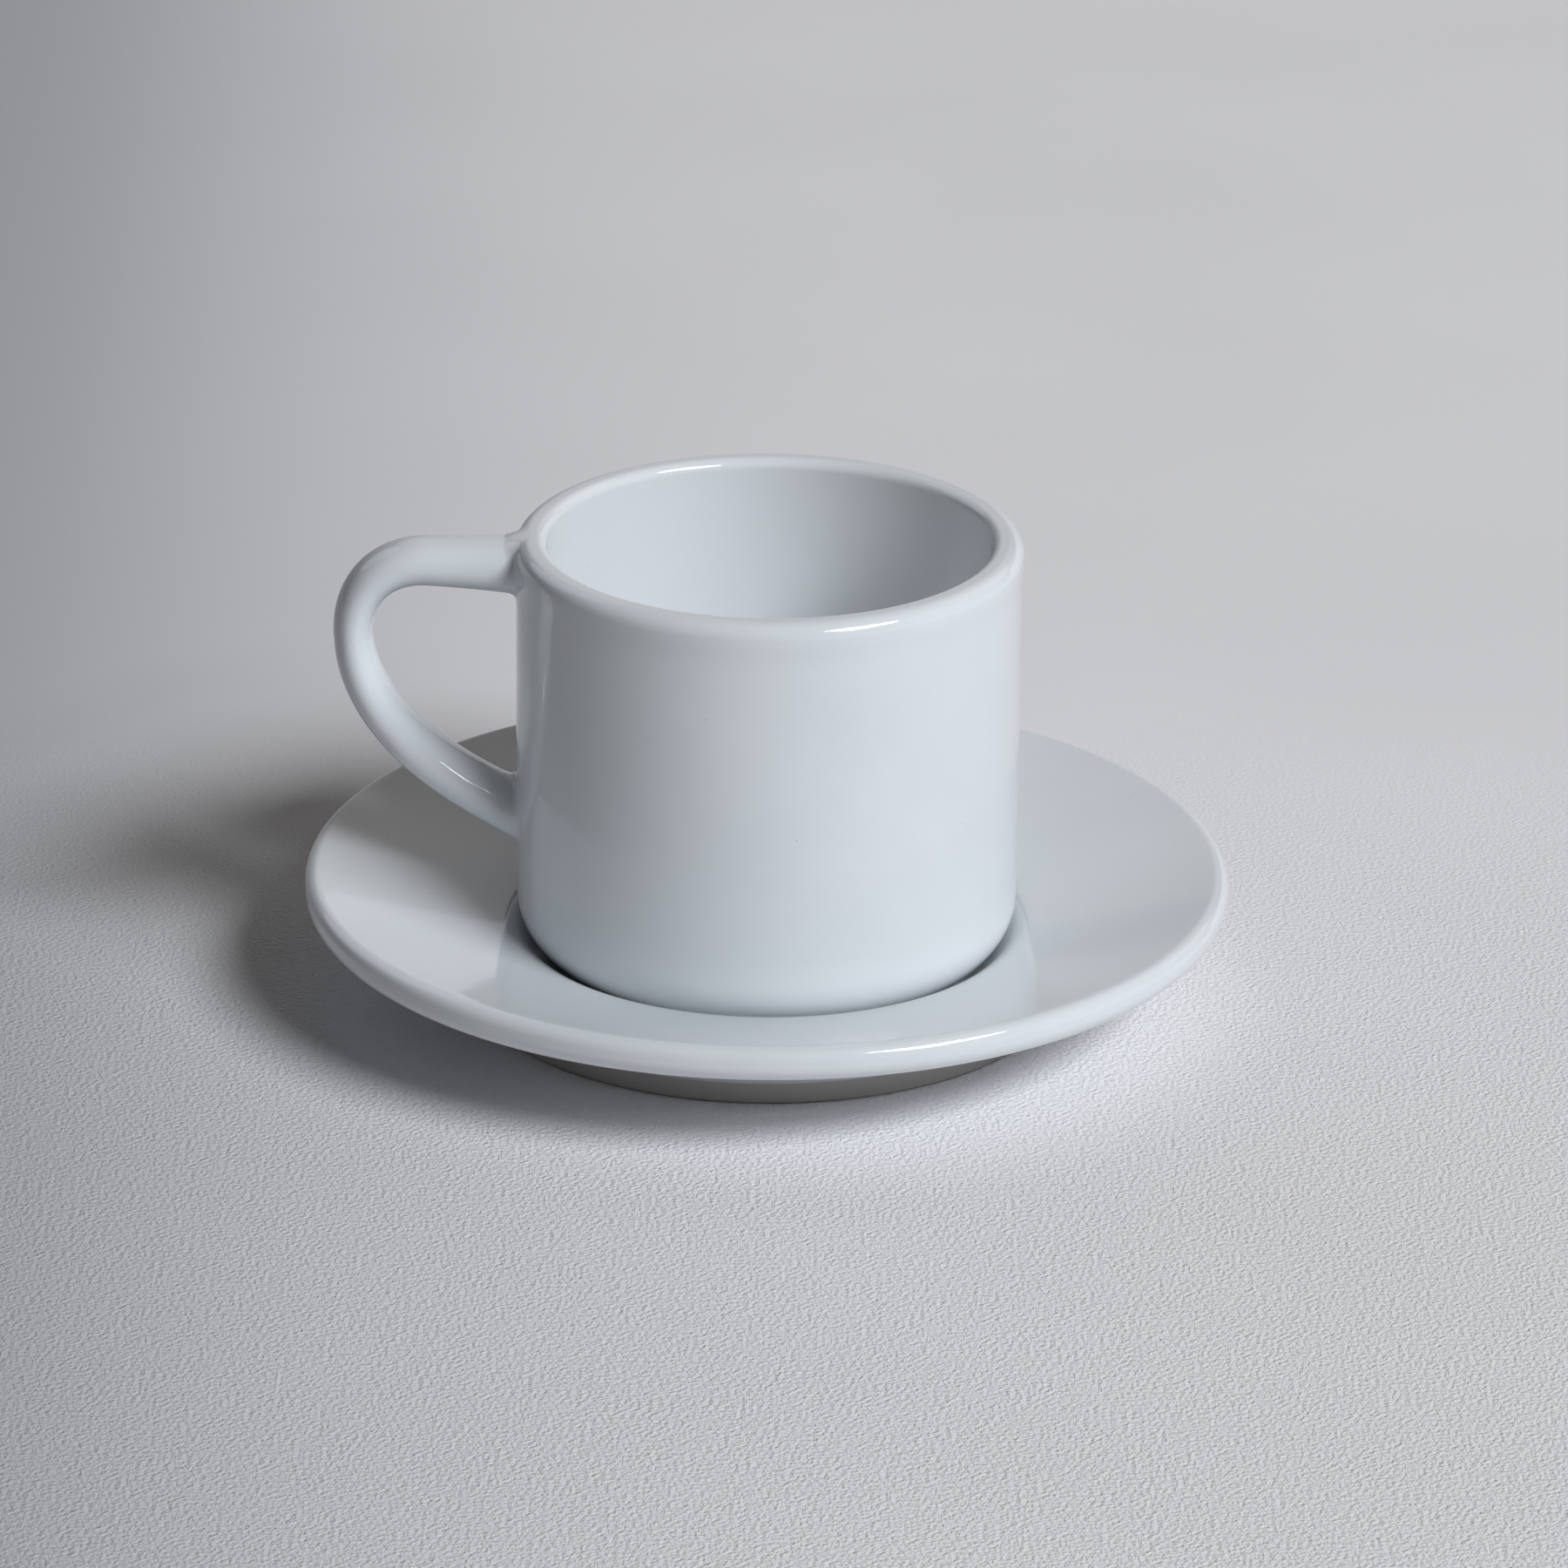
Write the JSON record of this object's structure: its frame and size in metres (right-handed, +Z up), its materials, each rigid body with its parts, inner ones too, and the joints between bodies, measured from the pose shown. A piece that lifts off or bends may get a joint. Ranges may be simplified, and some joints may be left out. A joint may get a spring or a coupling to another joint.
{
  "type": "cappuccino cup with saucer",
  "caption": "Thick-walled white porcelain cup with a rounded rim and a looped side handle, standing in the well of a round saucer with a sloping flange and a foot ring.",
  "frame": {"origin": "middle of the saucer's foot ring, on the table that it stands on", "axes": "+Z up along the common axis of saucer and cup; the cup's handle points along -X"},
  "size_m": [0.15, 0.15, 0.0777],
  "materials": {
    "white_glaze": "glossy clear glaze over cool white porcelain"
  },
  "bodies": {
    "saucer": {"saucer": "white_glaze"},
    "cup": {"cup_body": "white_glaze", "cup_handle": "white_glaze"}
  },
  "joints": [
    {"name": "cup_lift", "type": "slide", "parent": "saucer", "child": "cup", "axis": [0, 0, 1], "range_m": [0, 0.12]}
  ]
}
